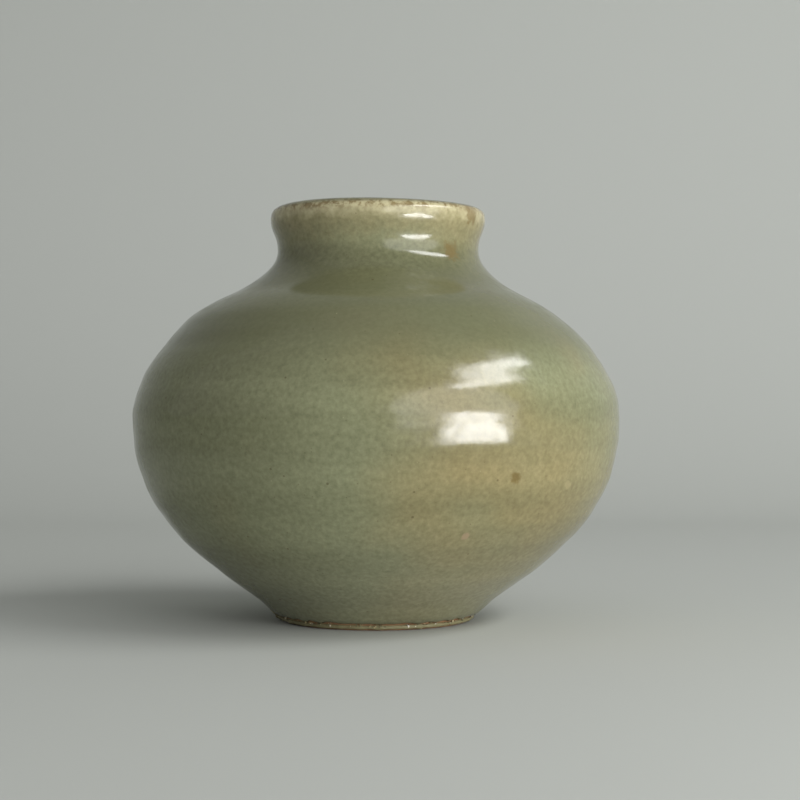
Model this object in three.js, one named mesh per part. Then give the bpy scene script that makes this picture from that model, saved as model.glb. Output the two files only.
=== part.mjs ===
// Celadon water pot: a small wheel-thrown stoneware jar with a round belly, a short
// waisted neck, a broad rolled lip and a trimmed foot, under three coats of glaze.
// Millimetres, +Z up. The origin is the centre of the foot's underside.
import * as THREE from 'three';
import { mergeVertices } from 'three/addons/utils/BufferGeometryUtils.js';

// The thrown clay wall, seen from outside, from the foot up to the lip.
const FOOT_RADIUS = 17.4;
const FOOT_FLARE_DEG = 40.7;
const BELLY_RADIUS = 45.4;
const BELLY_HEIGHT = 38.2;
const SHOULDER_RADIUS = 27.8;
const SHOULDER_HEIGHT = 60.4;
const SHOULDER_PITCH_DEG = 25.6;
const NECK_RADIUS = 18.6;
const NECK_HEIGHT = 69.4;
const LIP_RADIUS = 20.0;
const LIP_HEIGHT = 75.4;
const CREST_RADIUS = 15.0;
const CREST_HEIGHT = 77.7;

// How far each curve runs on before it bends to the next: fuller for a longer run.
const FOOT_RUN = 10.6;
const LOWER_BELLY_RUN = 23.3;
const UPPER_BELLY_RUN = 6.0;
const SHOULDER_RUN = 13.7;
const CAVETTO_RUN = 6.3;
const NECK_RUN = 3.5;
const NECK_RISE_RUN = 3.2;
const LIP_UNDER_RUN = 2.4;
const LIP_EDGE_RUN = 1.5;
const LIP_TOP_RUN = 4.5;

// The hollow inside.
const MOUTH_RADIUS = 13.6;
const MOUTH_DROP = 2.6;
const NECK_WALL = 3.5;
const SHOULDER_WALL = 3.6;
const BELLY_WALL = 3.4;
const LOWER_WALL = 4.6;
const FLOOR_THICKNESS = 5.6;
const FLOOR_TURN_RADIUS = 21;
const FLOOR_TURN_FULLNESS = 0.7;
const THROWING_GROOVE = 0.35;
const THROWING_PITCH = 9;

// The underside: a flat ring to stand on and a shallow hollow cut inside it.
const FOOT_RING_WIDTH = 4.2;
const FOOT_EDGE_BEVEL = 0.3;
const HOLLOW_DEPTH = 1.6;
const HOLLOW_SLOPE = 1.1;
const HOLLOW_RISE = 0.4;

// The glaze coats, measured square to the clay.
const GLAZE_LINE = 1.2;
const OUTER_COAT = 0.45;
const POOLED_COAT = 0.7;
const ROLLED_COAT = 0.65;
const POOL_SPREAD = 3.5;
const ROLL_RISE = 1.6;
const ROLL_SPREAD = 1.2;
const LINE_COAT = 0.3;
const LIP_COAT = 0.3;
const INNER_COAT = 0.4;
const BASE_COAT = 0.3;
const BASE_COAT_MARGIN = 1.0;

// The crust of kiln sand fused round the bare edge of the foot.
const GRIT_BOTTOM = 0.35;
const GRIT_TOP = 0.95;
const GRIT_STAND = 0.35;
const GRIT_ROUGHNESS = 0.25;
const GRIT_LUMP = 1.0;
const GRIT_LUMP_ANGLE = Math.PI;
const GRIT_LUMP_SPREAD = 0.16;
const GRIT_FOOT_SHARE = 0.8;
const GRIT_CREST_SHARE = 0.6;
// Waves round the foot, each with how many there are in a turn and how strong it is.
const GRIT_WAVES = [[13, 0.3], [10, 0.4], [4, 0.3]];

// What the fire did: the neck leaned to the right, the left shoulder swelled a
// little, and the lip went slightly out of level.
const NECK_LEAN = 0.28;
const SHOULDER_SWELL = 1.0;
const SHOULDER_SWELL_HEIGHT = 58.9;
const SHOULDER_SWELL_SPREAD = 4.5;
const LIP_WARP = 0.15;

// How finely each stretch of the half section is divided, and the turn round the axis.
const ROLL_SHARES = [0, 0.03, 0.08];
const LOWER_STEPS = 8;
const UPPER_STEPS = 8;
const CAVETTO_STEPS = 4;
const NECK_STEPS = 2;
const LIP_STEPS = 4;
const EDGE_STEPS = 3;
const INNER_UPPER_STEPS = 7;
const INNER_LOWER_STEPS = 10;
const FLOOR_STEPS = 5;
const HALVINGS = 40;
const SEGMENTS = 36;
const TURN = 2 * Math.PI;
const ON_AXIS = 1e-6;
const SAME_POINT = 1e-5;

const GLAZE = { color: 0x7f8263, roughness: 0.16, metalness: 0 };
const POURED_GLAZE = { color: 0x747a5c, roughness: 0.2, metalness: 0 };
const UNDER_GLAZE = { color: 0x8c8a6c, roughness: 0.3, metalness: 0 };
const CLAY = { color: 0xa08468, roughness: 0.8, metalness: 0 };
const GRIT = { color: 0xb8a98c, roughness: 0.9, metalness: 0 };

function bell(value, centre, spread) {
  return Math.exp(-(((value - centre) / spread) ** 2));
}

function along(degrees) {
  const angle = THREE.MathUtils.degToRad(degrees);
  return new THREE.Vector2(Math.cos(angle), Math.sin(angle));
}

function bend(from, fromWay, fromRun, to, toWay, toRun) {
  const leave = from.clone().addScaledVector(fromWay, fromRun);
  const arrive = to.clone().addScaledVector(toWay, -toRun);
  return new THREE.CubicBezierCurve(from, leave, arrive, to);
}

// A station is a point of a half section, x outwards and y up, with the direction
// that points out of the clay there.
function stationAt(curve, parameter) {
  const way = curve.getTangent(parameter);
  return { at: curve.getPoint(parameter), out: new THREE.Vector2(way.y, -way.x) };
}

function stations(curve, steps, skipFirst) {
  const found = [];
  for (let step = skipFirst ? 1 : 0; step <= steps; step += 1) {
    found.push(stationAt(curve, step / steps));
  }
  return found;
}

// The outside of the wall as five flowing curves from the foot to the lip's crest.
function outsideCurves() {
  const up = new THREE.Vector2(0, 1);
  const inwards = new THREE.Vector2(-1, 0);
  const flare = along(90 - FOOT_FLARE_DEG);
  const pitch = along(180 - SHOULDER_PITCH_DEG);
  const foot = new THREE.Vector2(FOOT_RADIUS, FOOT_EDGE_BEVEL);
  const belly = new THREE.Vector2(BELLY_RADIUS, BELLY_HEIGHT);
  const shoulder = new THREE.Vector2(SHOULDER_RADIUS, SHOULDER_HEIGHT);
  const neck = new THREE.Vector2(NECK_RADIUS, NECK_HEIGHT);
  const lip = new THREE.Vector2(LIP_RADIUS, LIP_HEIGHT);
  const crest = new THREE.Vector2(CREST_RADIUS, CREST_HEIGHT);
  return {
    lower: bend(foot, flare, FOOT_RUN, belly, up, LOWER_BELLY_RUN),
    upper: bend(belly, up, UPPER_BELLY_RUN, shoulder, pitch, SHOULDER_RUN),
    cavetto: bend(shoulder, pitch, CAVETTO_RUN, neck, up, NECK_RUN),
    lip: bend(neck, up, NECK_RISE_RUN, lip, up, LIP_UNDER_RUN),
    crest: bend(lip, up, LIP_EDGE_RUN, crest, inwards, LIP_TOP_RUN),
  };
}

// The parameter at which a rising curve reaches a height, found by halving the interval.
function parameterAtHeight(curve, height) {
  let low = 0;
  let high = 1;
  for (let turn = 0; turn < HALVINGS; turn += 1) {
    const middle = (low + high) / 2;
    if (curve.getPoint(middle).y < height) {
      low = middle;
    } else {
      high = middle;
    }
  }
  return (low + high) / 2;
}

// The bare band below the glaze: the foot's edge, the grit's seat and the glaze line.
function bareStations(curves) {
  const heights = [GRIT_BOTTOM, GRIT_TOP, GLAZE_LINE];
  return heights.map((height) => stationAt(curves.lower, parameterAtHeight(curves.lower, height)));
}

// The glazed outside, from the glaze line to the crest.
function glazedStations(curves) {
  const found = [];
  const start = parameterAtHeight(curves.lower, GLAZE_LINE);
  const rollEnd = ROLL_SHARES[ROLL_SHARES.length - 1];
  const shares = [...ROLL_SHARES];
  for (let step = 1; step <= LOWER_STEPS; step += 1) {
    shares.push(rollEnd + (1 - rollEnd) * (step / LOWER_STEPS));
  }
  for (const share of shares) {
    found.push(stationAt(curves.lower, start + (1 - start) * share));
  }
  found.push(...stations(curves.upper, UPPER_STEPS, true));
  found.push(...stations(curves.cavetto, CAVETTO_STEPS, true));
  found.push(...stations(curves.lip, NECK_STEPS, true));
  found.push(...stations(curves.crest, LIP_STEPS, true));
  return found;
}

// The inside runs from the crest over the lip and down the neck, then follows the
// outside at the wall's thickness, and turns into the floor.
function insideStations(curves) {
  const down = new THREE.Vector2(0, -1);
  const inwards = new THREE.Vector2(-1, 0);
  const crest = new THREE.Vector2(CREST_RADIUS, CREST_HEIGHT);
  const mouth = new THREE.Vector2(MOUTH_RADIUS, CREST_HEIGHT - MOUTH_DROP);
  const edgeRun = (CREST_RADIUS - MOUTH_RADIUS) / 2;
  const edge = bend(crest, inwards, edgeRun, mouth, down, MOUTH_DROP / 2);
  const found = stations(edge, EDGE_STEPS, false);

  const walls = [];
  const follow = (curve, steps, wallFrom, wallTo) => {
    for (let step = steps; step > 0; step -= 1) {
      const share = step / steps;
      const station = stationAt(curve, share);
      const wall = THREE.MathUtils.lerp(wallTo, wallFrom, share);
      const at = station.at.clone().addScaledVector(station.out, -wall);
      walls.push({ at, out: station.out.clone().negate() });
    }
  };
  follow(curves.cavetto, CAVETTO_STEPS, NECK_WALL, SHOULDER_WALL);
  follow(curves.upper, INNER_UPPER_STEPS, SHOULDER_WALL, BELLY_WALL);
  follow(curves.lower, INNER_LOWER_STEPS, BELLY_WALL, LOWER_WALL);
  const top = walls[0];
  const throat = (mouth.y - top.at.y) / 3;
  found.push(...stations(bend(mouth, down, throat, top.at, down, throat), NECK_STEPS, true));
  const turns = ({ at }) => at.y < BELLY_HEIGHT && at.x < FLOOR_TURN_RADIUS;
  const turnFrom = walls.findIndex(turns);
  const sides = walls.slice(1, turnFrom < 0 ? walls.length : turnFrom);
  found.push(...sides);

  const last = sides[sides.length - 1];
  const lastWay = new THREE.Vector2(-last.out.y, last.out.x);
  const floor = new THREE.Vector2(0, FLOOR_THICKNESS + HOLLOW_DEPTH);
  const turnRun = (last.at.y - floor.y) * FLOOR_TURN_FULLNESS;
  const floorTurn = bend(last.at, lastWay, turnRun, floor, inwards, last.at.x / 2);
  found.push(...stations(floorTurn, FLOOR_STEPS, true));
  return found;
}

// The underside of the foot, from its centre out to its edge.
function undersideStations() {
  const ringInner = FOOT_RADIUS - FOOT_RING_WIDTH;
  const hollowEdge = ringInner - HOLLOW_SLOPE;
  const coatEdge = hollowEdge - BASE_COAT_MARGIN;
  const roofAt = (radius) => HOLLOW_DEPTH + HOLLOW_RISE * (1 - (radius / hollowEdge) ** 2);
  const below = new THREE.Vector2(0, -1);
  const points = [
    [0, roofAt(0)],
    [coatEdge / 3, roofAt(coatEdge / 3)],
    [(coatEdge * 2) / 3, roofAt((coatEdge * 2) / 3)],
    [coatEdge, roofAt(coatEdge)],
    [hollowEdge, HOLLOW_DEPTH],
    [ringInner, 0],
    [FOOT_RADIUS - FOOT_EDGE_BEVEL, 0],
  ];
  return points.map(([x, y]) => ({ at: new THREE.Vector2(x, y), out: below }));
}

function outerCoatAt(height) {
  const neckRoot = (SHOULDER_HEIGHT + NECK_HEIGHT) / 2;
  const pooled = (POOLED_COAT - OUTER_COAT) * bell(height, neckRoot, POOL_SPREAD);
  const rolled = (ROLLED_COAT - OUTER_COAT) * bell(height, GLAZE_LINE + ROLL_RISE, ROLL_SPREAD);
  const overLip = THREE.MathUtils.smoothstep(height, NECK_HEIGHT, CREST_HEIGHT);
  return OUTER_COAT + pooled + rolled - (OUTER_COAT - LIP_COAT) * overLip;
}

// The potter's fingers leave one rising groove inside: a wave that climbs by one
// pitch in each turn and dies out at the lip and at the centre of the floor.
function grooveAt(station, angle) {
  const fade = THREE.MathUtils.smoothstep(NECK_HEIGHT - station.at.y, 0, THROWING_PITCH)
    * THREE.MathUtils.smoothstep(station.at.x, 0, THROWING_PITCH);
  const climb = station.at.y + (BELLY_RADIUS - station.at.x) / 2;
  return THROWING_GROOVE * fade * Math.sin((TURN * climb) / THROWING_PITCH - angle);
}

// Every piece goes through the same small set that the kiln gave the whole pot.
function firedSet(point) {
  const left = Math.max(0, -point.x / Math.max(1, Math.hypot(point.x, point.y)));
  const nearSwell = bell(point.z, SHOULDER_SWELL_HEIGHT, SHOULDER_SWELL_SPREAD);
  const swell = SHOULDER_SWELL * left ** 2 * nearSwell;
  const lean = NECK_LEAN * THREE.MathUtils.smoothstep(point.z, BELLY_HEIGHT, NECK_HEIGHT);
  const level = LIP_WARP * THREE.MathUtils.smoothstep(point.z, NECK_HEIGHT, CREST_HEIGHT);
  const angle = Math.atan2(point.y, point.x);
  point.x += lean - swell;
  point.z += level * Math.sin(2 * angle);
  return point;
}

// One ring of points round the axis at a station, moved out of the clay by a given
// amount, which may differ from one angle to the next. A point on the axis stays one point.
function ring(station, proud) {
  if (station.at.x < ON_AXIS) {
    return [firedSet(new THREE.Vector3(0, 0, station.at.y + station.out.y * proud(0)))];
  }
  return Array.from({ length: SEGMENTS }, (_, index) => {
    const angle = (TURN * index) / SEGMENTS;
    const section = station.at.clone().addScaledVector(station.out, proud(angle));
    const x = section.x * Math.cos(angle);
    const y = section.x * Math.sin(angle);
    return firedSet(new THREE.Vector3(x, y, section.y));
  });
}

// Joins each ring to the next. Facing out, a path that climbs the outside, goes over
// the lip and down the inside has its faces pointing out of the clay.
function skin(rings, facingOut) {
  const triangles = [];
  for (let row = 0; row + 1 < rings.length; row += 1) {
    const lower = rings[row];
    const upper = rings[row + 1];
    for (let index = 0; index < SEGMENTS; index += 1) {
      const next = (index + 1) % SEGMENTS;
      if (lower.length > 1) {
        triangles.push([lower[index], lower[next], upper[upper.length > 1 ? index : 0]]);
      }
      if (upper.length > 1) {
        triangles.push([lower[lower.length > 1 ? next : 0], upper[next], upper[index]]);
      }
    }
  }
  return facingOut ? triangles : triangles.map(([a, b, c]) => [a, c, b]);
}

function piece(name, look, triangles) {
  const geometry = new THREE.BufferGeometry().setFromPoints(triangles.flat());
  const merged = mergeVertices(geometry, SAME_POINT);
  merged.computeVertexNormals();
  const mesh = new THREE.Mesh(merged, new THREE.MeshStandardMaterial(look));
  mesh.name = name;
  return mesh;
}

const none = () => 0;
const curves = outsideCurves();
const underside = undersideStations();
const bare = bareStations(curves);
const glazed = glazedStations(curves);
const inside = insideStations(curves);

const undersideRings = underside.map((station) => ring(station, none));
const bareRings = bare.map((station) => ring(station, none));
const outsideRings = glazed.map((station) => ring(station, none));
const insideRings = inside.map((station) => ring(station, (angle) => grooveAt(station, angle)));

// The clay: its underside, the bare band, the outside, and the inside down to the floor.
function stonewareBody() {
  const rings = [
    ...undersideRings,
    ...bareRings.slice(0, -1),
    ...outsideRings,
    ...insideRings.slice(1),
  ];
  return piece('stoneware_body', CLAY, skin(rings, true));
}

// A coat is its outer face, the clay's own rings turned to face it, and its two ends.
function coat(name, look, clayRings, glazeRings) {
  const triangles = [...skin(glazeRings, true), ...skin(clayRings, false)];
  const start = [clayRings[0], glazeRings[0]];
  const end = [glazeRings[glazeRings.length - 1], clayRings[clayRings.length - 1]];
  for (const edge of [start, end]) {
    if (edge[0].length > 1) {
      triangles.push(...skin(edge, true));
    }
  }
  return piece(name, look, triangles);
}

// Dipped over the outside: thin on the lip, pooled round the neck's root, rolled at its end.
function outerGlaze() {
  const rings = glazed.map((station, index) => {
    const thickness = index === 0 ? LINE_COAT : outerCoatAt(station.at.y);
    return ring(station, () => thickness);
  });
  return coat('outer_glaze', GLAZE, outsideRings, rings);
}

// Poured in and tipped out: it starts at the crest at the outer coat's thickness.
function innerGlaze() {
  const crestCoat = outerCoatAt(CREST_HEIGHT);
  const rings = inside.map((station) => {
    const below = THREE.MathUtils.smoothstep(CREST_HEIGHT - station.at.y, 0, MOUTH_DROP);
    const thickness = THREE.MathUtils.lerp(crestCoat, INNER_COAT, below);
    return ring(station, (angle) => grooveAt(station, angle) + thickness);
  });
  return coat('inner_glaze', POURED_GLAZE, insideRings, rings);
}

// Wiped thinly into the hollow under the foot.
function baseGlaze() {
  const roof = underside.slice(0, 4);
  const rings = roof.map((station) => ring(station, () => BASE_COAT));
  return coat('base_glaze', UNDER_GLAZE, undersideRings.slice(0, 4), rings);
}

// Kiln sand that stuck to the foot's edge: an uneven crust with one large lump on the left.
function kilnGrit() {
  const standAt = (angle) => {
    const rough = GRIT_WAVES.reduce((sum, [count, share]) => sum + share * Math.sin(count * angle), 0);
    const lump = GRIT_LUMP * bell(angle, GRIT_LUMP_ANGLE, GRIT_LUMP_SPREAD);
    return GRIT_STAND + GRIT_ROUGHNESS * rough + lump;
  };
  const [bottom, top] = bare;
  const middle = {
    at: bottom.at.clone().lerp(top.at, 0.5),
    out: bottom.out,
  };
  const outwards = new THREE.Vector2(1, 0);
  const seat = [bareRings[0], bareRings[1]];
  const face = [
    ring({ at: bottom.at, out: outwards }, (angle) => standAt(angle) * GRIT_FOOT_SHARE),
    ring({ at: middle.at, out: outwards }, standAt),
    ring({ at: top.at, out: outwards }, (angle) => standAt(angle) * GRIT_CREST_SHARE),
  ];
  return coat('kiln_grit', GRIT, seat, face);
}

const waterPot = new THREE.Group();
waterPot.add(stonewareBody(), outerGlaze(), innerGlaze(), baseGlaze(), kilnGrit());

export default waterPot;
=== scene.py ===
# %% [markdown]
# # A celadon water pot
# The object is a small stoneware jar, thrown on a wheel in one piece and coated with a
# grey-green glaze. Its clay, its three coats of glaze and the sand stuck to its foot are
# five separate pieces here, because each is a different material with its own surface.
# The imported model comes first. It fixes where everything is, and nothing here moves it.

# %% Load the frame
import math

import bpy
import numpy as np
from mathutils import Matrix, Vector


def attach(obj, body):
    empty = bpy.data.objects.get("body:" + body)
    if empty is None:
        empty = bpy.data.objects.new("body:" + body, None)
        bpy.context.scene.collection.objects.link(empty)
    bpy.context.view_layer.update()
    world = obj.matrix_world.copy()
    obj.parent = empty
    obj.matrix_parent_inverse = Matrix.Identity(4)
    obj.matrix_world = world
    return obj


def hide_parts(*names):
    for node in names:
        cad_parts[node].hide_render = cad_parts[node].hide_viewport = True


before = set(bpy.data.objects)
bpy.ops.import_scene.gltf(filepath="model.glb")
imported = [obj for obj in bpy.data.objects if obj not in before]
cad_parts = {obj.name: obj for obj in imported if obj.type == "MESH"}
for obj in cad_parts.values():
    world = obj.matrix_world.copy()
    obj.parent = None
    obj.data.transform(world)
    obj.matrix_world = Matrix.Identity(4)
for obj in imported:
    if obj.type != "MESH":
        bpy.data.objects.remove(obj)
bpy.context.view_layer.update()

MM = 0.001
TURN = 2 * math.pi

# %% [markdown]
# ## The sizes of the thrown wall
# A potter's form is a profile turned round an axis. This one is five flowing curves that
# meet without a corner: the lower belly, the upper belly, the hollow curve into the neck,
# the neck, and the rolled lip. Each is a cubic Bezier curve, because its two handles are
# the direction and the fullness that a potter would speak of. A chain of points could
# give the same line, but nobody could read or change it. All sizes are millimetres.

# %% The outline's own sizes
FOOT_RADIUS, FOOT_BEVEL, FOOT_FLARE_DEG = 17.4, 0.3, 40.7
BELLY_RADIUS, BELLY_HEIGHT = 45.4, 38.2
SHOULDER_RADIUS, SHOULDER_HEIGHT, SHOULDER_PITCH_DEG = 27.8, 60.4, 25.6
NECK_RADIUS, NECK_HEIGHT = 18.6, 69.4
LIP_RADIUS, LIP_HEIGHT = 20.0, 75.4
CREST_RADIUS, CREST_HEIGHT = 15.0, 77.7
# How far each curve keeps its direction at its start and at its end.
LOWER_RUNS, UPPER_RUNS, CAVETTO_RUNS = (10.6, 23.3), (6.0, 13.7), (6.3, 3.5)
NECK_RUNS, CREST_RUNS = (3.2, 2.4), (1.5, 4.5)
UP, DOWN, INWARDS = (0, 1), (0, -1), (-1, 0)
CURVE_POINTS = 120


def bezier(start, start_handle, end_handle, end, count=CURVE_POINTS):
    """A cubic curve: each point is the four given points weighed by (1-t)^3, 3t(1-t)^2,
    3t^2(1-t) and t^3."""
    t = np.linspace(0, 1, count)[:, None]
    corners = [np.asarray(point, float) for point in (start, start_handle, end_handle, end)]
    weights = [(1 - t) ** 3, 3 * t * (1 - t) ** 2, 3 * t * t * (1 - t), t**3]
    return sum(weight * corner for weight, corner in zip(weights, corners))


def bend(start, start_way, end, end_way, runs):
    """A Bezier curve given by its two ends, the way it runs at each and how far it keeps it."""
    start, end = np.asarray(start, float), np.asarray(end, float)
    leave = start + np.multiply(start_way, runs[0])
    arrive = end - np.multiply(end_way, runs[1])
    return bezier(start, leave, arrive, end)


flare = (math.sin(math.radians(FOOT_FLARE_DEG)), math.cos(math.radians(FOOT_FLARE_DEG)))
pitch = (-math.cos(math.radians(SHOULDER_PITCH_DEG)), math.sin(math.radians(SHOULDER_PITCH_DEG)))
foot_edge, belly = (FOOT_RADIUS, FOOT_BEVEL), (BELLY_RADIUS, BELLY_HEIGHT)
shoulder, neck = (SHOULDER_RADIUS, SHOULDER_HEIGHT), (NECK_RADIUS, NECK_HEIGHT)
lip, crest = (LIP_RADIUS, LIP_HEIGHT), (CREST_RADIUS, CREST_HEIGHT)
lower_curve = bend(foot_edge, flare, belly, UP, LOWER_RUNS)
upper_curve = bend(belly, UP, shoulder, pitch, UPPER_RUNS)
cavetto_curve = bend(shoulder, pitch, neck, UP, CAVETTO_RUNS)
neck_curve = bend(neck, UP, lip, UP, NECK_RUNS)
crest_curve = bend(lip, UP, crest, INWARDS, CREST_RUNS)
outside = np.vstack([lower_curve, upper_curve, cavetto_curve, neck_curve, crest_curve])
print("Outside of the wall:", len(outside), "points from foot to crest")

# %% [markdown]
# ## The inside
# The hollow follows the outside at the wall's thickness, as it does on the wheel, where
# one hand is inside and one outside. A second free profile could be drawn for it, but
# then the wall would come out by chance. Only the lip's inner edge and the turn into the
# floor have curves of their own. The clay is thickest low down, where it carries the rest.

# %% The inside line
MOUTH_RADIUS, MOUTH_DROP = 13.6, 2.6
NECK_WALL, SHOULDER_WALL, BELLY_WALL, LOWER_WALL = 3.5, 3.6, 3.4, 4.6
HOLLOW_DEPTH, HOLLOW_RISE, HOLLOW_SLOPE, FOOT_RING_WIDTH = 1.6, 0.4, 1.1, 4.2
FLOOR_THICKNESS, FLOOR_TURN_START, FLOOR_TURN_FULLNESS = 5.6, 22.5, 0.7
FLOOR_TOP = FLOOR_THICKNESS + HOLLOW_DEPTH


def turned_out(path):
    """The direction out of the clay along a line: its own direction turned a quarter right."""
    way = np.gradient(path, axis=0)
    way /= np.maximum(np.hypot(*way.T), 1e-12)[:, None]
    return np.stack([way[:, 1], -way[:, 0]], 1)


def inside_of(path, wall_at_end, wall_at_start):
    """The line moved into the clay by a wall that changes evenly, then run the other way."""
    wall = np.linspace(wall_at_start, wall_at_end, len(path))[:, None]
    return (path - turned_out(path) * wall)[::-1]


mouth = (MOUTH_RADIUS, CREST_HEIGHT - MOUTH_DROP)
edge_runs = ((CREST_RADIUS - MOUTH_RADIUS) / 2, MOUTH_DROP / 2)
inner_edge = bend(crest, INWARDS, mouth, DOWN, edge_runs)
inner_cavetto = inside_of(cavetto_curve, NECK_WALL, SHOULDER_WALL)
throat_run = (mouth[1] - inner_cavetto[0, 1]) / 3
throat = bend(mouth, DOWN, inner_cavetto[0], DOWN, (throat_run, throat_run))
inner_upper = inside_of(upper_curve, SHOULDER_WALL, BELLY_WALL)
inner_lower = inside_of(lower_curve, BELLY_WALL, LOWER_WALL)
inner_lower = inner_lower[inner_lower[:, 0] > FLOOR_TURN_START]
last, before = inner_lower[-1], inner_lower[-2]
last_way = (last - before) / np.hypot(*(last - before))
floor_runs = ((last[1] - FLOOR_TOP) * FLOOR_TURN_FULLNESS, last[0] / 2)
floor_curve = bend(last, last_way, (0, FLOOR_TOP), INWARDS, floor_runs)
inside = np.vstack([inner_edge, throat, inner_cavetto, inner_upper, inner_lower, floor_curve])
print("Inside of the wall:", len(inside), "points from crest to floor")

# %% [markdown]
# ## What the kiln did
# A fired pot is never quite round. The neck leans a fraction of a millimetre to the right
# of the belly, the left shoulder is about a millimetre fuller, and the lip is slightly out
# of level. Each piece could be bent by itself, but then they would drift apart. So every
# piece goes through this same function, and they stay seated on each other.

# %% The fire's small changes
NECK_LEAN, LIP_WARP = 0.28, 0.15
SHOULDER_SWELL, SWELL_HEIGHT, SWELL_SPREAD = 1.0, 58.9, 4.5


def ramp(value, low, high):
    """0 below low, 1 above high, and between them the smooth step 3t^2 - 2t^3."""
    t = np.clip((value - low) / (high - low), 0, 1)
    return t * t * (3 - 2 * t)


def bell(value, centre, spread):
    """1 at the centre, falling off on both sides as e to the minus (distance/spread)^2."""
    return np.exp(-(((value - centre) / spread) ** 2))


def fired(points):
    """Leans the neck, swells the left shoulder and tips the lip, by the height of each point."""
    x, y, z = points[..., 0], points[..., 1], points[..., 2]
    left = np.clip(-x / np.maximum(1, np.hypot(x, y)), 0, None)
    swell = SHOULDER_SWELL * left**2 * bell(z, SWELL_HEIGHT, SWELL_SPREAD)
    lean = NECK_LEAN * ramp(z, BELLY_HEIGHT, NECK_HEIGHT)
    level = LIP_WARP * ramp(z, NECK_HEIGHT, CREST_HEIGHT)
    return np.stack([x + lean - swell, y, z + level * np.sin(2 * np.arctan2(y, x))], -1)


def waves(angle, along, seed, turns, length, count=24):
    """Soft unevenness between about -1 and 1: a sum of sine waves, each with a whole number
    of periods round the pot and a random slope along the wall, so that it closes on itself."""
    dice = np.random.default_rng(seed)
    total = np.zeros(np.broadcast(angle, along).shape)
    for _ in range(count):
        around = dice.integers(0, turns + 1)
        climb = dice.normal() * TURN / length
        total += np.sin(around * angle + climb * along + dice.uniform(0, TURN))
    return total / math.sqrt(count / 2) / 2


# %% [markdown]
# ## From profile to mesh
# A Screw modifier could turn a profile too, but it gives every angle the same section.
# Here one function works out the whole grid as an array, so each point can have its own
# small unevenness. The profile is a loop or runs from axis to axis, so that every piece is
# a real solid with no open edge.

# %% Turn a profile
def put_mesh(name, points, faces):
    """Points in millimetres, and faces as lists of their numbers, as a smooth mesh."""
    mesh = bpy.data.meshes.new(name)
    mesh.from_pydata((points * MM).tolist(), [], faces)
    mesh.shade_smooth()
    mesh.validate()
    made = bpy.data.objects.new(name, mesh)
    bpy.context.scene.collection.objects.link(made)
    print(f"{name}: {len(points)} points, {len(faces)} faces")
    return made


def round_the_pot(columns):
    """The angles of a grid's columns, as one row."""
    return np.linspace(0, TURN, columns, endpoint=False)[None, :]


def turned_grid(path, out, columns, proud, slide=0):
    """Each row is a point of the profile carried round the axis: radius times cosine and
    sine, after it has moved out of the clay by proud and along the wall by slide."""
    angle = round_the_pot(columns)
    along = np.stack([-out[:, 1], out[:, 0]], 1)
    radius = path[:, :1] + out[:, :1] * proud + along[:, :1] * slide + 0 * angle
    height = path[:, 1:] + out[:, 1:] * proud + along[:, 1:] * slide + 0 * angle
    return fired(np.stack([radius * np.cos(angle), radius * np.sin(angle), height], -1))


def closed_faces(rows, columns, loop):
    """Quads between each row and the next, the last column back to the first, and for a
    loop the last row back to the first."""
    row = np.arange(rows if loop else rows - 1)[:, None]
    column = np.arange(columns)[None, :]
    after, beside = (row + 1) % rows, (column + 1) % columns
    quads = np.stack([row * columns + column, row * columns + beside,
                      after * columns + beside, after * columns + column], -1)
    return quads.reshape(-1, 4).tolist()


def poles_closed(grid, first_height, last_height):
    """A grid from axis to axis, with each end closed by a point on the axis and a fan."""
    rows, columns = grid.shape[:2]
    faces = closed_faces(rows, columns, False)
    column = np.arange(columns)
    beside = (column + 1) % columns
    first_pole = np.full(columns, rows * columns)
    end_row = (rows - 1) * columns
    faces += np.stack([first_pole, beside, column], 1).tolist()
    faces += np.stack([end_row + column, end_row + beside, first_pole + 1], 1).tolist()
    points = np.vstack([grid.reshape(-1, 3), [0, 0, first_height], [0, 0, last_height]])
    return points, faces


# %% [markdown]
# Rows spread evenly along the wall give square faces, which shade and bake well. A curve's
# own points would crowd where its handles are short.

# %% Even rows
def distance_along(path):
    """How far each point of a line lies from its start, measured along it."""
    return np.r_[0, np.cumsum(np.hypot(*np.diff(path, axis=0).T))]


def even_rows(path, count):
    """The same line with its points spread evenly along its length."""
    step = np.hypot(*np.diff(path, axis=0).T)
    path = path[np.r_[True, step > 1e-9]]
    length = distance_along(path)
    wanted = np.linspace(0, length[-1], count)
    return np.stack([np.interp(wanted, length, path[:, 0]), np.interp(wanted, length, path[:, 1])], 1)


def above(path, height):
    """The part of a rising line from a height upwards."""
    return path[path[:, 1] >= height]


# %% [markdown]
# ## The outer glaze
# The pot was dipped, and the glaze melted into a glassy coat half a millimetre thick. It
# runs thin over the lip, gathers where the neck meets the shoulder and ends in a rounded
# roll just above the foot. The finger ridges of the throwing still show through it as
# faint rings, and they break up the reflections. A bump map could fake them, but a glossy
# surface gives that away at its outline. So they are real shape.

# %% How thick the outer glaze is
GLAZE_LINE = 1.2
EVEN_COAT = 0.45
POOLED_EXTRA, POOL_HEIGHT, POOL_SPREAD = 0.25, (SHOULDER_HEIGHT + NECK_HEIGHT) / 2, 3.5
ROLLED_EXTRA, ROLL_HEIGHT, ROLL_SPREAD = 0.2, GLAZE_LINE + 1.6, 1.2
THINNED_AT_LIP = 0.15
THINNEST = 0.08
EASE = 0.03  # every coat stays this much inside the model's own


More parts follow.
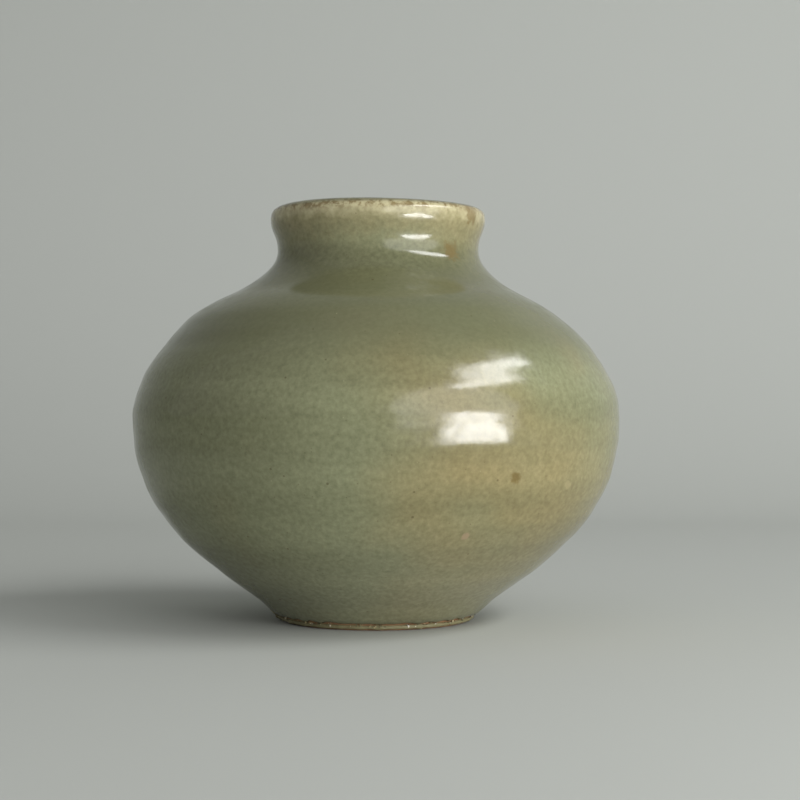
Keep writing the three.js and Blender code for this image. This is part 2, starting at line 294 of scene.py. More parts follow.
def outer_coat(height):
    """Thickness by height: even, thicker at the neck's root and above the glaze line, and
    thinner over the lip."""
    pooled = POOLED_EXTRA * bell(height, POOL_HEIGHT, POOL_SPREAD)
    rolled = ROLLED_EXTRA * bell(height, ROLL_HEIGHT, ROLL_SPREAD)
    return EVEN_COAT + pooled + rolled - THINNED_AT_LIP * ramp(height, NECK_HEIGHT, CREST_HEIGHT)


# %% Shape the outer glaze
COLUMNS, ROWS = 480, 154
BACK_STEP = 4  # the side against the clay is never seen, so it has every fourth row
RING_PITCH, RING_DEPTH = 8.3, 0.06
FINE_RING_PITCH, FINE_RING_DEPTH = 3.4, 0.018
LUMP_SIZE, LUMP_DEPTH, LUMP_SINK = 26, 0.07, 0.12
WEAR_SIZE, WEAR_DEPTH = 4, 0.03
EDGE_WANDER, EDGE_DROP, EDGE_REACH = 0.28, 0.05, 3.0
ROUND_DEPTH, ROUND_REACH = 0.35, 0.9

angle = round_the_pot(COLUMNS)
seen = even_rows(above(outside, GLAZE_LINE), ROWS)
seen_out = turned_out(seen)
distance = distance_along(seen)[:, None]
height = seen[:, 1:]

rings = RING_DEPTH * np.sin(TURN * height / RING_PITCH - angle + 0.7 * waves(angle, distance, 3, 2, 40))
rings += FINE_RING_DEPTH * np.sin(TURN * height / FINE_RING_PITCH + 1.3 - angle)
rings *= ramp(height, 3, 10) * (1 - ramp(height, 60, 66))
lumps = LUMP_DEPTH * waves(angle, distance, 11, 9, LUMP_SIZE) - LUMP_SINK
lumps = lumps * (1 - ramp(height, 74.5, 77.4)) - EASE
lip_wear = WEAR_DEPTH * waves(angle, distance, 5, 40, WEAR_SIZE)
lip_wear *= ramp(height, 74, 76) * (1 - ramp(height, 76.4, 77.5))
glaze_end = 1 - ramp(distance, 0, EDGE_REACH)
edge_slide = (EDGE_WANDER * waves(angle, 0 * distance, 21, 40, 40) + EDGE_DROP) * glaze_end
rounding = ROUND_DEPTH * (1 - ramp(distance, 0, ROUND_REACH))
proud = outer_coat(height) - rounding + rings + lumps * (1 - 0.6 * glaze_end) + lip_wear
proud = np.maximum(proud, THINNEST)
front = turned_grid(seen, seen_out, COLUMNS, proud, edge_slide)
back = turned_grid(seen, seen_out, COLUMNS, 0 * proud, edge_slide)[::-BACK_STEP]
outer_grid = np.vstack([front, back])
outer_faces = closed_faces(len(outer_grid), COLUMNS, True)
outer_glaze = put_mesh("celadon_glaze", outer_grid.reshape(-1, 3), outer_faces)
print("Outer coat in mm, thinnest and thickest:", proud.min().round(2), proud.max().round(2))

# %% [markdown]
# ## The inner glaze
# The inside was coated by pouring glaze in and tipping it out again. The groove that the
# potter's fingers left is one long spiral from the floor to the neck. It could be a stack
# of rings, but on the wheel the hands rise while the pot turns. So a sine wave is shifted
# by the angle, one pitch for each turn, and the coat over the groove shows it too.

# %% Shape the inner glaze
IN_COLUMNS, IN_ROWS = 360, 190
THROWING_PITCH, THROWING_GROOVE = 9.0, 0.35
INNER_COAT = 0.4
RUN_SIZE, RUN_DEPTH = 30, 0.07


def groove(path, angles):
    """A wave that climbs one pitch a turn and dies out at the neck and the floor's centre."""
    radius, level = path[:, :1], path[:, 1:]
    fade = ramp(NECK_HEIGHT - level, 0, THROWING_PITCH) * ramp(radius, 0, THROWING_PITCH)
    climb = level + (BELLY_RADIUS - radius) / 2
    return THROWING_GROOVE * fade * np.sin(TURN * climb / THROWING_PITCH - angles)


in_angle = round_the_pot(IN_COLUMNS)
within = even_rows(inside, IN_ROWS)[:-1]
within_out = turned_out(np.vstack([within, [0, FLOOR_TOP]]))[:-1]
in_distance = distance_along(within)[:, None]
crest_coat = outer_coat(CREST_HEIGHT) - EASE
coat = crest_coat + (INNER_COAT - crest_coat) * ramp(CREST_HEIGHT - within[:, 1:], 0, MOUTH_DROP)
runs = RUN_DEPTH * waves(in_angle, in_distance, 31, 8, RUN_SIZE)
runs *= ramp(in_distance, 0, 6) * ramp(within[:, :1], 0, 8)
in_groove = groove(within, in_angle)
in_front = turned_grid(within, within_out, IN_COLUMNS, in_groove + coat + runs)
in_back = turned_grid(within, within_out, IN_COLUMNS, in_groove)[::-BACK_STEP]
in_grid = np.vstack([in_back, in_front])
inner_glaze = put_mesh("poured_glaze", *poles_closed(in_grid, FLOOR_TOP, FLOOR_TOP + INNER_COAT))

# %% [markdown]
# ## The clay
# The stoneware shows only under the foot and as a thin band below the glaze. It is one
# closed solid: the hollow under the foot, the flat ring that it stands on, the outside up
# to the lip, and the inside down to the floor. Its grain is fine, so it is left to the
# material, but the small chatter of the trimming tool is shape.

# %% Shape the clay
CHATTER_SIZE, CHATTER_DEPTH = 3, 0.04
CUT_ROUND = 0.3
UNDER_GLAZE_SINK = 0.02
NEAR_AXIS = 0.4
ring_inner = FOOT_RADIUS - FOOT_RING_WIDTH
hollow_edge = ring_inner - HOLLOW_SLOPE


def hollow_roof(radius):
    """The hollow's ceiling under the foot: highest in the middle, falling with radius squared."""
    return np.stack([radius, HOLLOW_DEPTH + HOLLOW_RISE * (1 - (radius / hollow_edge) ** 2)], 1)


roof = hollow_roof(np.linspace(NEAR_AXIS, hollow_edge - CUT_ROUND, 30))
cut = bezier((hollow_edge - CUT_ROUND, HOLLOW_DEPTH), (hollow_edge, HOLLOW_DEPTH),
             (ring_inner - CUT_ROUND, 0.1), (ring_inner + 0.2, 0), 12)[1:]
stand = np.stack([np.linspace(ring_inner + 0.6, FOOT_RADIUS - FOOT_BEVEL, 12), np.zeros(12)], 1)
bare = even_rows(outside[outside[:, 1] < GLAZE_LINE], 6)
clay_outside = even_rows(above(outside, GLAZE_LINE), 80)
clay_inside = even_rows(inside, 90)[1:-1]
clay_path = np.vstack([roof, cut, stand, bare, clay_outside, clay_inside])
clay_height = clay_path[:, 1:]
clay_grooves = groove(clay_path, in_angle)
clay_grooves[: len(clay_path) - len(clay_inside)] = 0
chatter = CHATTER_DEPTH * waves(in_angle, clay_path[:, :1], 41, 40, CHATTER_SIZE)
chatter *= (clay_height > 0.2) & (clay_height < GLAZE_LINE - 0.1)
clay_proud = clay_grooves + chatter - UNDER_GLAZE_SINK * (clay_height > GLAZE_LINE)
clay_grid = turned_grid(clay_path, turned_out(clay_path), IN_COLUMNS, clay_proud)
clay = put_mesh("stoneware", *poles_closed(clay_grid, HOLLOW_DEPTH + HOLLOW_RISE, FLOOR_TOP))

# %% [markdown]
# ## The thin glaze under the foot
# The hollow under the foot got a thin wash of glaze. It stops short of the foot ring,
# so that the pot doesn't stick to the kiln's shelf. A darker patch in the clay's material
# would look much the same, but the wash is a separate layer on the pot, and so it is here.

# %% Shape the thin glaze
WASH_MARGIN, WASH_COLUMNS, WASH_ROWS = 1.0, 180, 40
WASH_EDGE, WASH_COAT, WASH_LUMPS, WASH_RIM = 0.08, 0.2, 0.05, 0.6
wash_radius = np.linspace(NEAR_AXIS, hollow_edge - WASH_MARGIN, WASH_ROWS)
wash_roof = hollow_roof(wash_radius)
wash_angle = round_the_pot(WASH_COLUMNS)
rim = ramp(wash_radius[-1] - wash_radius, 0, WASH_RIM)[:, None]
uneven = WASH_LUMPS * waves(wash_angle, wash_radius[:, None], 51, 7, 8)
uneven *= ramp(wash_radius, 1, 5)[:, None]
below = np.tile([0.0, -1.0], (WASH_ROWS, 1))
wash_front = turned_grid(wash_roof, below, WASH_COLUMNS, WASH_EDGE + (WASH_COAT + uneven) * rim)
wash_back = turned_grid(wash_roof, below, WASH_COLUMNS, 0 * uneven)[::-1]
roof_top = HOLLOW_DEPTH + HOLLOW_RISE
wash_grid = np.vstack([wash_front, wash_back])
thin_glaze = put_mesh("foot_wash", *poles_closed(wash_grid, roof_top - WASH_EDGE - WASH_COAT, roof_top))

# %% [markdown]
# ## The kiln sand
# The pot stood on sand in the kiln, and grains stuck to the soft glaze round the foot.
# They make the rough edge there, with one larger lump on the left. A rough texture could
# hint at it, but the fringe shows against the ground, so it needs shape. The crust that
# holds the grains is an uneven bead round the foot.

# %% Shape the crust
BEAD_COLUMNS, BEAD_SIDES = 720, 12
BEAD_SIZE, BEAD_UNEVEN, BEAD_STAND, BEAD_HEIGHT = 0.24, 0.09, 0.6, 0.66
BEAD_STRETCH = 0.12
BEAD_FLOOR = 0.12
LUMP_ANGLE, LUMP_SPREAD = math.pi, 0.13
bead_angle = round_the_pot(BEAD_COLUMNS)
section = np.linspace(0, TURN, BEAD_SIDES, endpoint=False)[:, None]
lump = bell(bead_angle, LUMP_ANGLE, LUMP_SPREAD)
bead_size = BEAD_SIZE + BEAD_UNEVEN * waves(bead_angle, 0 * bead_angle, 61, 60, 9) + 0.45 * lump
bead_rough = 1 + 0.2 * waves(bead_angle, section, 62, 90, 2)
bead_radius = FOOT_RADIUS + BEAD_STAND + 0.5 * lump + bead_size * np.cos(section) * bead_rough
bead_height = BEAD_HEIGHT + 0.35 * lump + (bead_size + BEAD_STRETCH) * np.sin(section)
bead_height = np.maximum(bead_height, BEAD_FLOOR)
bead = np.stack([bead_radius * np.cos(bead_angle), bead_radius * np.sin(bead_angle), bead_height], -1)
bead_points = bead.reshape(-1, 3)
bead_faces = closed_faces(BEAD_SIDES, BEAD_COLUMNS, True)
print("Bead round the foot:", len(bead_points), "points")

# %% [markdown]
# Each grain is an icosahedron whose corners are pulled in and out at random. A grain of a
# quarter of a millimetre needs no more than its twenty faces to look broken and sharp.

# %% One grain's corners and faces
golden = (1 + math.sqrt(5)) / 2
corner = np.array([[s, t * golden, 0.0] for s in (-1, 1) for t in (-1, 1)])
icosa = np.vstack([corner, corner[:, [2, 0, 1]], corner[:, [1, 2, 0]]]) / math.hypot(1, golden)
apart = np.linalg.norm(icosa[:, None] - icosa[None], axis=-1)
near = (apart > 0.1) & (apart < 1.2)
threes = [(a, b, c) for a in range(12) for b in range(a + 1, 12) for c in range(b + 1, 12)]
sides = [f for f in threes if near[f[0], f[1]] and near[f[1], f[2]] and near[f[0], f[2]]]


def facing_out(face):
    """The corners of a face in the order that turns it away from the grain's centre."""
    a, b, c = icosa[list(face)]
    return face if np.dot(np.cross(b - a, c - a), a) > 0 else face[::-1]


icosa_faces = np.array([facing_out(face) for face in sides])
print("One grain:", len(icosa), "corners,", len(icosa_faces), "faces")

# %% Scatter the grains
GRAINS, LUMP_GRAINS = 420, 40
LUMP_SCATTER = 0.07
GRAIN_FLOOR = 0.05
total = GRAINS + LUMP_GRAINS
dice = np.random.default_rng(7)
where = np.r_[dice.uniform(0, TURN, GRAINS), dice.normal(LUMP_ANGLE, LUMP_SCATTER, LUMP_GRAINS)]
size = np.r_[0.08 + 0.2 * dice.random(GRAINS) ** 3, dice.uniform(0.15, 0.42, LUMP_GRAINS)]
rise = np.r_[0.3 + 1.0 * dice.random(GRAINS), dice.uniform(0.4, 1.9, LUMP_GRAINS)]
rise = np.maximum(rise, size + GRAIN_FLOOR)
stand_off = np.r_[dice.uniform(-0.1, 0.2, GRAINS), dice.uniform(0.1, 0.7, LUMP_GRAINS)]
foot_line = lower_curve
wall_radius = np.interp(rise, foot_line[:, 1], foot_line[:, 0]) + 0.35 + stand_off
centre = np.stack([wall_radius * np.cos(where), wall_radius * np.sin(where), rise], -1)
pulled = dice.uniform(0.6, 1.25, (total, 12, 1))
stretched = dice.uniform(0.6, 1.2, (total, 1, 3))
shape = icosa[None] * size[:, None, None] * pulled * stretched
grain_points = (centre[:, None] + shape).reshape(-1, 3)
grain_points[:, 2] = np.maximum(grain_points[:, 2], GRAIN_FLOOR)
first_corner = len(bead_points) + 12 * np.arange(total)
grain_faces = (icosa_faces[None] + first_corner[:, None, None]).reshape(-1, 3)
sand_points = np.vstack([bead_points, grain_points])
kiln_sand = put_mesh("kiln_sand", sand_points, bead_faces + grain_faces.tolist())
kiln_sand.data.polygons.foreach_set("use_smooth", np.zeros(len(kiln_sand.data.polygons), bool))

BEAD_TONE = 0.45
tone = np.r_[np.full(len(bead_points), BEAD_TONE), np.repeat(dice.random(total), 12)]
grain_attribute = kiln_sand.data.attributes.new("grain", "FLOAT", "POINT")
grain_attribute.data.foreach_set("value", tone.astype(np.float32))

# %% [markdown]
# ## The camera
# The photograph looks straight at the pot from about a third of a metre, level with the
# lower belly. The foot and the lip both curve away from that height, and how much they
# curve gives the distance. The scale is the belly's real width over its width in pixels.

# %% Set the camera
IMAGE_SIZE = 800
EYE_DISTANCE_PX = 1800
MM_PER_PX = 0.1893
AXIS_PX, BASE_PX = 376.5, 618.95
SENSOR_WIDTH = 36
eye_px = np.array([IMAGE_SIZE / 2 - AXIS_PX, -EYE_DISTANCE_PX, BASE_PX - IMAGE_SIZE / 2])
eye = eye_px * MM_PER_PX
camera_data = bpy.data.cameras.new("camera")
camera_data.sensor_width = SENSOR_WIDTH
camera_data.lens = SENSOR_WIDTH * EYE_DISTANCE_PX / IMAGE_SIZE
camera_data.clip_start = 0.01
camera = bpy.data.objects.new("camera", camera_data)
camera.location = eye * MM
camera.rotation_euler = (math.pi / 2, 0, 0)
bpy.context.scene.collection.objects.link(camera)
bpy.context.scene.camera = camera
print("Camera at", (eye * MM).round(4), "lens", camera_data.lens)


def on_pot(pixel_x, pixel_y):
    """Where the sight line through a pixel first meets the glazed outside, in metres: walk
    along the line and take the first point nearer to the axis than the outline."""
    across, rise_px = pixel_x - IMAGE_SIZE / 2, IMAGE_SIZE / 2 - pixel_y
    way = np.array([across, EYE_DISTANCE_PX, rise_px]) / EYE_DISTANCE_PX
    walk = eye + np.linspace(250, 350, 4000)[:, None] * way
    wall = np.interp(walk[:, 2], outside[:, 1], outside[:, 0] + EVEN_COAT)
    first = np.argmax(np.hypot(walk[:, 0], walk[:, 1]) < wall)
    return walk[first] * MM


# %% [markdown]
# ## Colours and nodes
# Colours are written as they look on a screen and turned to the linear values that the
# renderer adds up. One function adds any node, with its settings and its links, and gives
# back the socket that the next node needs.

# %% Colour and node helpers
def linear(hex_colour):
    """sRGB to linear: c/12.92 below 0.04045, and ((c + 0.055)/1.055)^2.4 above."""
    parts = [int(hex_colour[i:i + 2], 16) / 255 for i in (1, 3, 5)]
    return (*[c / 12.92 if c <= 0.04045 else ((c + 0.055) / 1.055) ** 2.4 for c in parts], 1)


def add(tree, kind, inputs=None, output=0, **settings):
    """Adds a node and gives back one of its outputs. inputs maps a socket's name or number
    to a value or to another node's output."""
    made = tree.nodes.new(kind)
    for name, value in settings.items():
        setattr(made, name, value)
    for socket, value in (inputs or {}).items():
        if isinstance(value, bpy.types.NodeSocket):
            tree.links.new(value, made.inputs[socket])
        else:
            made.inputs[socket].default_value = value
    return made.outputs[output] if len(made.outputs) else made


def new_material(name):
    """An empty material with its shader and output. Gives the material, its tree and its shader."""
    made = bpy.data.materials.new(name)
    made.use_nodes = True
    tree = made.node_tree
    tree.nodes.clear()
    surface = add(tree, "ShaderNodeBsdfPrincipled")
    add(tree, "ShaderNodeOutputMaterial", {"Surface": surface})
    return made, tree, surface.node


# %% [markdown]
# A finish is built in layers, as a painter would: a tone, and over it one colour after
# another, each only where its mask lets it through. A mask is a product of smooth steps,
# so it can say "above this height, and where this cloud is dense" in one line.

# %% Masks, layers and patterns
def mask(tree, strength, *steps):
    """Smooth steps from 0 at low to 1 at high, multiplied together and by a strength."""
    amount = strength
    for value, low, high in steps:
        step = add(tree, "ShaderNodeMapRange", {"Value": value, "From Min": low, "From Max": high},
                   interpolation_type="SMOOTHSTEP")
        amount = add(tree, "ShaderNodeMath", {0: step, 1: amount}, operation="MULTIPLY")
    return amount


def painted(tree, tone, *layers):
    """Lays colours over a tone, one after another, each by its own amount."""
    for amount, colour in layers:
        tone = add(tree, "ShaderNodeMix", {0: amount, 6: tone, 7: linear(colour)}, 2, data_type="RGBA")
    return tone


def clouds(tree, place, wanted):
    """Cloudy noises by name, each with its spots' size in mm, how much it is stretched
    sideways, its finer detail and how strong that is."""
    made = {}
    for name, (size_mm, stretch, detail, roughness) in wanted.items():
        narrowed = (1 / stretch, 1 / stretch, 1)
        spread = add(tree, "ShaderNodeMapping", {"Vector": place, "Scale": narrowed})
        made[name] = add(tree, "ShaderNodeTexNoise", {"Vector": spread, "Scale": 1 / (size_mm * MM),
                                                      "Detail": detail, "Roughness": roughness})
    return made


def dots(tree, place, spacing_mm, size, share, strength):
    """Round dots, about one in each cell of spacing_mm. size is a dot's radius as a share of
    the cell, and share is how many of the cells have one."""
    nearest = add(tree, "ShaderNodeTexVoronoi", {"Vector": place, "Scale": 1 / (spacing_mm * MM)})
    dice_roll = add(tree, "ShaderNodeSeparateColor", {0: nearest.node.outputs["Color"]})
    second_roll = dice_roll.node.outputs[1]
    radius = add(tree, "ShaderNodeMath", {0: second_roll, 1: size * 0.7, 2: size * 0.4},
                 operation="MULTIPLY_ADD")
    within_dot = add(tree, "ShaderNodeMath", {0: radius, 1: nearest}, operation="SUBTRACT")
    return mask(tree, strength, (within_dot, 0, size * 0.35), (dice_roll, 1 - share, 1 - share + 0.02))


def spot(tree, place, centre, radius_mm, edge_mm, uneven, strength):
    """A single mark: full inside its radius, and none beyond radius and edge together. The
    distance from its centre is shifted by a noise, so its outline is ragged."""
    away = add(tree, "ShaderNodeVectorMath", {0: place, 1: centre}, "Value", operation="DISTANCE")
    raggedness = 6 * radius_mm * MM
    shift = add(tree, "ShaderNodeMath", {0: uneven, 1: raggedness, 2: -raggedness / 2},
                operation="MULTIPLY_ADD")
    ragged = add(tree, "ShaderNodeMath", {0: away, 1: shift}, operation="ADD")
    return mask(tree, strength, (ragged, (radius_mm + edge_mm) * MM, radius_mm * MM))


# %% [markdown]
# ## The celadon glaze
# Celadon is a stoneware glaze coloured by a little iron and fired with too little air,
# which turns it grey-green. Where more air reached it, it goes khaki and brown, as on the
# right of this pot. It is a glass, so it has glass's reflection and a smooth surface, but
# old celadon has fine pinholes, iron specks from the clay, and tiny bubbles that soften
# its shine. Over the lip the coat is so thin that the pale clay and rust show through.

# %% The glaze's colours, clouds and marks
GREEN, DEEP_GREEN, KHAKI, PALE_KHAKI = "#7f8263", "#5b5c41", "#867b55", "#968c66"
BLUE_GREEN, CREAM, RUST, SPECK = "#82826a", "#b5ad89", "#6f5a30", "#4b3f26"
PALE_BUBBLE, BURNT, PINK_PIT, IRON = "#a9a582", "#453b27", "#9b856b", "#655429"
POURED_LIP, POURED_LOW = "#9a9673", "#70765c"
# Size in mm, sideways stretch, detail and roughness.
GLAZE_CLOUDS = {
    "khaki": (34, 1, 2.0, 0.5),
    "patches": (16, 1, 3.0, 0.5),
    "bands": (7, 1 / 0.12, 2.0, 0.5),
    "fray": (2.2, 1, 4.0, 0.5),
    "rust": (1.3, 1, 5.0, 0.65),
    "mottle": (0.9, 1, 4.0, 0.6),
    "haze": (3.0, 1, 3.0, 0.5),
}
IRON_SPOT_PX, PINK_PIT_PX, RING_PIT_PX = (516, 478), (465, 537), (568, 485)
NECK_STAIN_PX, LIP_SPECK_PX, LIP_STAIN_PX = (450, 252), (288, 226), (471, 212)
# Single marks: where each is seen, its radius and soft edge in mm, its colour, its strength.
MARKS = (
    (IRON_SPOT_PX, 0.45, 0.9, IRON, 0.8),
    (PINK_PIT_PX, 0.4, 0.5, PINK_PIT, 0.7),
    (RING_PIT_PX, 0.5, 0.5, PALE_KHAKI, 0.6),
    (NECK_STAIN_PX, 0.9, 1.8, RUST, 0.6),
    (LIP_SPECK_PX, 0.2, 0.5, BURNT, 0.5),
    (LIP_STAIN_PX, 1.2, 1.2, RUST, 0.65),
)


# %% Celadon glaze
def celadon_tone(tree, place, cloud, lip_colour, foot_colour):
    """The glaze's colour: broad tones, bands by height, the lip, painted shade on the shoulder, specks and
    marks.
    """
    x = add(tree, "ShaderNodeSeparateXYZ", {0: place})
    height_mm = add(tree, "ShaderNodeMath", {0: x.node.outputs["Z"], 1: 1 / MM}, operation="MULTIPLY")
    dense = add(tree, "ShaderNodeMath", {0: cloud["khaki"], 1: 2.2}, operation="MULTIPLY")
    to_right = add(tree, "ShaderNodeMath", {0: x, 1: 9.0, 2: dense}, operation="MULTIPLY_ADD")
    tone = painted(
        tree, linear(GREEN),
        (mask(tree, 1, (to_right, 0.95, 1.75)), KHAKI),
        (mask(tree, 0.45, (cloud["patches"], 0.5, 0.75), (x, 5 * MM, 40 * MM)), PALE_KHAKI),
        (mask(tree, 0.6, (height_mm, 24, 4)), foot_colour),
        (mask(tree, 0.35, (cloud["bands"], 0.35, 0.7)), DEEP_GREEN),
        (mask(tree, 0.7, (height_mm, 60, 65), (height_mm, 71.2, 67.2)), DEEP_GREEN),
    )

    fray_mm = add(tree, "ShaderNodeMath", {0: cloud["fray"], 1: 4, 2: -2}, operation="MULTIPLY_ADD")
    frayed = add(tree, "ShaderNodeMath", {0: height_mm, 1: fray_mm}, operation="ADD")
    tone = painted(
        tree, tone,
        (mask(tree, 0.6, (frayed, 69.0, 74.5)), PALE_KHAKI),
        (mask(tree, 1, (frayed, 73.8, 76.4)), lip_colour),
        (mask(tree, 0.8, (cloud["rust"], 0.43, 0.6), (height_mm, 75.2, 76.8)), RUST),
        (mask(tree, 0.75, (height_mm, 76.7, 77.5)), DEEP_GREEN),
    )

    grey = add(tree, "ShaderNodeCombineColor", {channel: cloud["mottle"] for channel in range(3)})
    mottled = {0: 0.55, 6: tone, 7: grey}
    tone = add(tree, "ShaderNodeMix", mottled, 2, data_type="RGBA", blend_type="SOFT_LIGHT")
    marks = [(spot(tree, place, tuple(on_pot(*pixel)), radius, edge, cloud["rust"], strength), colour)
             for pixel, radius, edge, colour, strength in MARKS]
    return painted(
        tree, tone,
        # Painted shade: a deep green band darkens the shoulder, from 44 to 68 mm up, where less light falls
        # from above.
        (mask(tree, 0.7, (height_mm, 44, 54), (height_mm, 68, 62)), DEEP_GREEN),
        (dots(tree, place, 1.1, 0.13, 0.4, 0.42), SPECK),
        (dots(tree, place, 2.4, 0.11, 0.35, 0.55), SPECK),
        (dots(tree, place, 1.5, 0.09, 0.35, 0.35), PALE_BUBBLE),
        *marks,
    )


def celadon(name, lip_colour, foot_colour):
    """Glossy celadon: its colour, a shine that clouds over in places, and a fine relief of
    mottling with a pit at each bubble."""
    made, tree, shader = new_material(name)
    place = add(tree, "ShaderNodeTexCoord", output="Object")
    cloud = clouds(tree, place, GLAZE_CLOUDS)
    tree.links.new(celadon_tone(tree, place, cloud, lip_colour, foot_colour), shader.inputs["Base Color"])
    shader.inputs["IOR"].default_value = 1.52
    hazy = add(tree, "ShaderNodeMapRange", {"Value": cloud["haze"], "From Min": 0.3, "From Max": 0.8,
                                            "To Min": 0.10, "To Max": 0.24},
               interpolation_type="SMOOTHSTEP")
    tree.links.new(hazy, shader.inputs["Roughness"])
    pits = dots(tree, place, 1.5, 0.09, 0.35, -0.5)
    relief = add(tree, "ShaderNodeMath", {0: cloud["mottle"], 1: 0.35, 2: pits}, operation="MULTIPLY_ADD")
    bump = add(tree, "ShaderNodeBump", {"Strength": 0.45, "Distance": 0.1 * MM, "Height": relief})
    tree.links.new(bump, shader.inputs["Normal"])
    print(name, "has", len(tree.nodes), "nodes")
    return made


glaze_material = celadon("celadon_glaze", CREAM, BLUE_GREEN)
poured_material = celadon("poured_celadon_glaze", POURED_LIP, POURED_LOW)

# %% [markdown]
# ## Stoneware and the foot's wash
# Bare stoneware is matt and grainy, and the fire reddens its skin. The wash in the foot's
# hollow is glaze too thin to be glassy. Both are earthy surfaces that differ in their
# tones, their grain and how much they shine, so one function makes both.

# %% Stoneware
def earthy(name, colours, grain_mm, roughness, grit):
    """A matt fired surface: two tones in soft clouds, dark grains and a sandy relief."""
    made, tree, shader = new_material(name)
    place = add(tree, "ShaderNodeTexCoord", output="Object")
    cloud = clouds(tree, place, {"soft": (grain_mm * 12, 1, 3.0, 0.5), "fine": (grain_mm, 1, 4.0, 0.7)})
    light, reddened, dark = colours
    tone = painted(
        tree, linear(light),
        (mask(tree, 1, (cloud["soft"], 0.35, 0.65)), reddened),
        (mask(tree, 0.6, (cloud["fine"], 0.55, 0.75)), dark),
    )
    tree.links.new(tone, shader.inputs["Base Color"])
    shader.inputs["Roughness"].default_value = roughness
    bump = add(tree, "ShaderNodeBump", {"Strength": grit, "Distance": 0.2 * MM, "Height": cloud["fine"]})
    tree.links.new(bump, shader.inputs["Normal"])
    return made


clay_material = earthy("stoneware", ("#a8835f", "#8f6a4a", "#5a4230"), 0.5, 0.85, 0.6)
wash_material = earthy("foot_wash", ("#8d8a6b", "#9c8f6e", "#5f5438"), 0.9, 0.4, 0.3)

# %% [markdown]
# ## Kiln sand
# The sand is quartz and broken clay, and most of it is wrapped in glaze. Each grain has a
# number of its own, and a ramp turns that number into a tone from brown to cream. A noise
# would colour parts of grains, and a real grain has one colour.

# %% Kiln sand
SAND_ROUGHNESS = 0.6
SAND_TONES = {0.0: "#3f2f20", 0.3: "#6d5a3e", 0.5: "#7c7a58", 0.8: "#8f8560", 0.93: "#c3b48c", 1.0: "#d8cca8"}
sand_material, sand_tree, sand_shader = new_material("kiln_sand")
grain_tone = add(sand_tree, "ShaderNodeAttribute", output="Fac", attribute_name="grain")
sand_colour = add(sand_tree, "ShaderNodeValToRGB", {0: grain_tone})
stops = sand_colour.node.color_ramp.elements
for position, colour in SAND_TONES.items():
    stop = stops[0] if position == 0 else stops.new(position)
    stop.position = position
    stop.color = linear(colour)
sand_tree.links.new(sand_colour, sand_shader.inputs["Base Color"])
sand_shader.inputs["Roughness"].default_value = SAND_ROUGHNESS

# %% Put the pieces on the frame
PIECES = (
    (outer_glaze, "outer_glaze", glaze_material, "celadon_glaze"),
    (inner_glaze, "inner_glaze", poured_material, "poured_glaze"),
    (clay, "stoneware_body", clay_material, "stoneware"),
    (thin_glaze, "base_glaze", wash_material, "thin_glaze"),
    (kiln_sand, "kiln_grit", sand_material, "kiln_sand"),
)
for made, node_name, material, slot_name in PIECES:
    made.data.materials.append(material)
    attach(made, "root")
    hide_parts(node_name)
print(len(PIECES), "pieces ride the pot")

# %% [markdown]
# ## Floor and backdrop
# The pot stands on a plain sheet that curves up behind it, so that there is no horizon.
# Two planes would be simpler, but they meet in a line behind the pot.

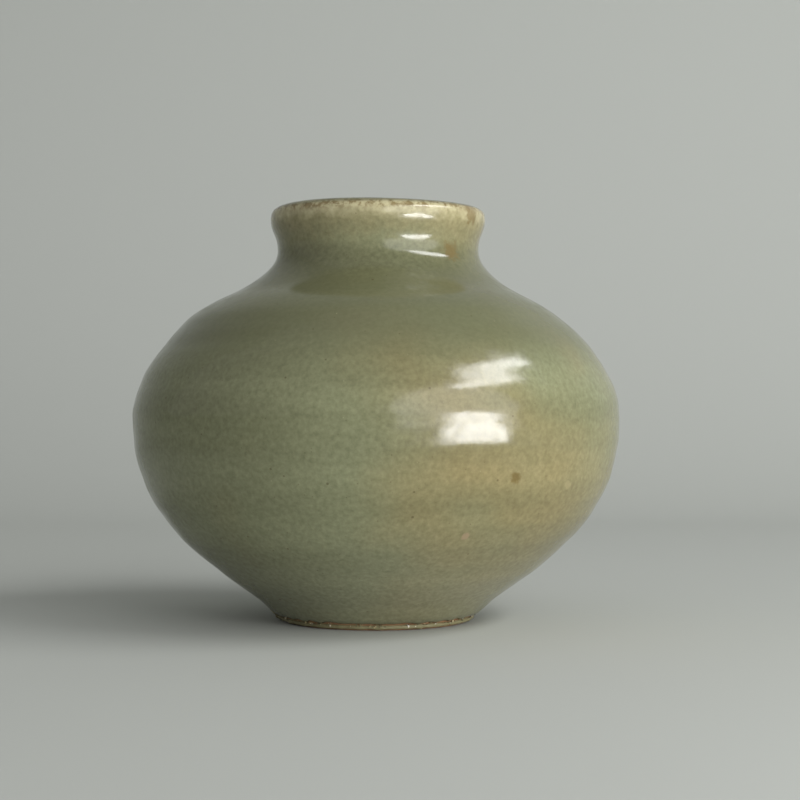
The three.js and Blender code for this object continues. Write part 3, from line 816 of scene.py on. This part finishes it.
# %% Set the floor
SWEEP_WIDTH, SWEEP_FRONT, SWEEP_BACK, SWEEP_BEND, SWEEP_TOP = 3000, -1200, 260, 240, 2200
PAPER_GREY, PAPER_ROUGHNESS = "#b9bcb7", 0.9
bend_angle = np.linspace(0, math.pi / 2, 24)
bend_line = [SWEEP_BACK + SWEEP_BEND * np.sin(bend_angle), SWEEP_BEND * (1 - np.cos(bend_angle))]
front_edge, top_edge = [[SWEEP_FRONT, 0]], [[SWEEP_BACK + SWEEP_BEND, SWEEP_TOP]]
sweep_line = np.vstack([front_edge, np.stack(bend_line, 1), top_edge])
count = len(sweep_line)
sides = [np.column_stack([np.full(count, side * SWEEP_WIDTH / 2), sweep_line]) for side in (-1, 1)]
sweep_faces = [[i, i + count, i + count + 1, i + 1] for i in range(count - 1)]
sweep = put_mesh("sweep", np.vstack(sides), sweep_faces)
sweep_material, sweep_tree, sweep_shader = new_material("backdrop_paper")
sweep_shader.inputs["Base Color"].default_value = linear(PAPER_GREY)
sweep_shader.inputs["Roughness"].default_value = PAPER_ROUGHNESS
sweep.data.materials.append(sweep_material)

# %% [markdown]
# ## Light
# A large soft light stands front right, as a window would. A small oval panel close to the
# pot gives the bright shape on the belly, and a wide one above gives the crescent on the
# shoulder. Each is placed from the point of the glaze where it shows, back along the
# reflected sight line. The rest is even light from all sides.

# %% Set the lights
BELLY_SHINE_PX, SHOULDER_SHINE_PX = (467, 428), (480, 373)
MID_POT = (0, 0, 40 * MM)
WORLD_STRENGTH = 0.32
# What each light faces, the way from there to it, then its distance, width and height in
# mm, and its power in watts.
LAMPS = {
    "side_panel": (on_pot(*BELLY_SHINE_PX), (0.72, -0.684, -0.109), 250, 165, 92, 0.62),
    "upper_panel": (on_pot(*SHOULDER_SHINE_PX), (0.669, -0.232, 0.707), 800, 660, 150, 2.8),
    "window": (MID_POT, (0.6, -0.77, 0.2), 1700, 2000, 2000, 22),
}
for name, (target, way, distance_mm, width_mm, height_mm, watts) in LAMPS.items():
    data = bpy.data.lights.new(name, "AREA")
    data.shape = "ELLIPSE"
    data.size, data.size_y = width_mm * MM, height_mm * MM
    data.energy = watts
    made = bpy.data.objects.new(name, data)
    way = np.asarray(way, float) / np.linalg.norm(way)
    made.location = np.asarray(target) + way * distance_mm * MM
    made.rotation_euler = Vector(way).to_track_quat("Z", "Y").to_euler()
    bpy.context.scene.collection.objects.link(made)
    print(name, "at", [round(v, 3) for v in made.location])

world = bpy.data.worlds.new("even_light")
world.use_nodes = True
background = world.node_tree.nodes["Background"]
background.inputs[0].default_value = linear("#ffffff")
background.inputs[1].default_value = WORLD_STRENGTH
bpy.context.scene.world = world
bpy.context.scene.view_settings.view_transform = "Standard"
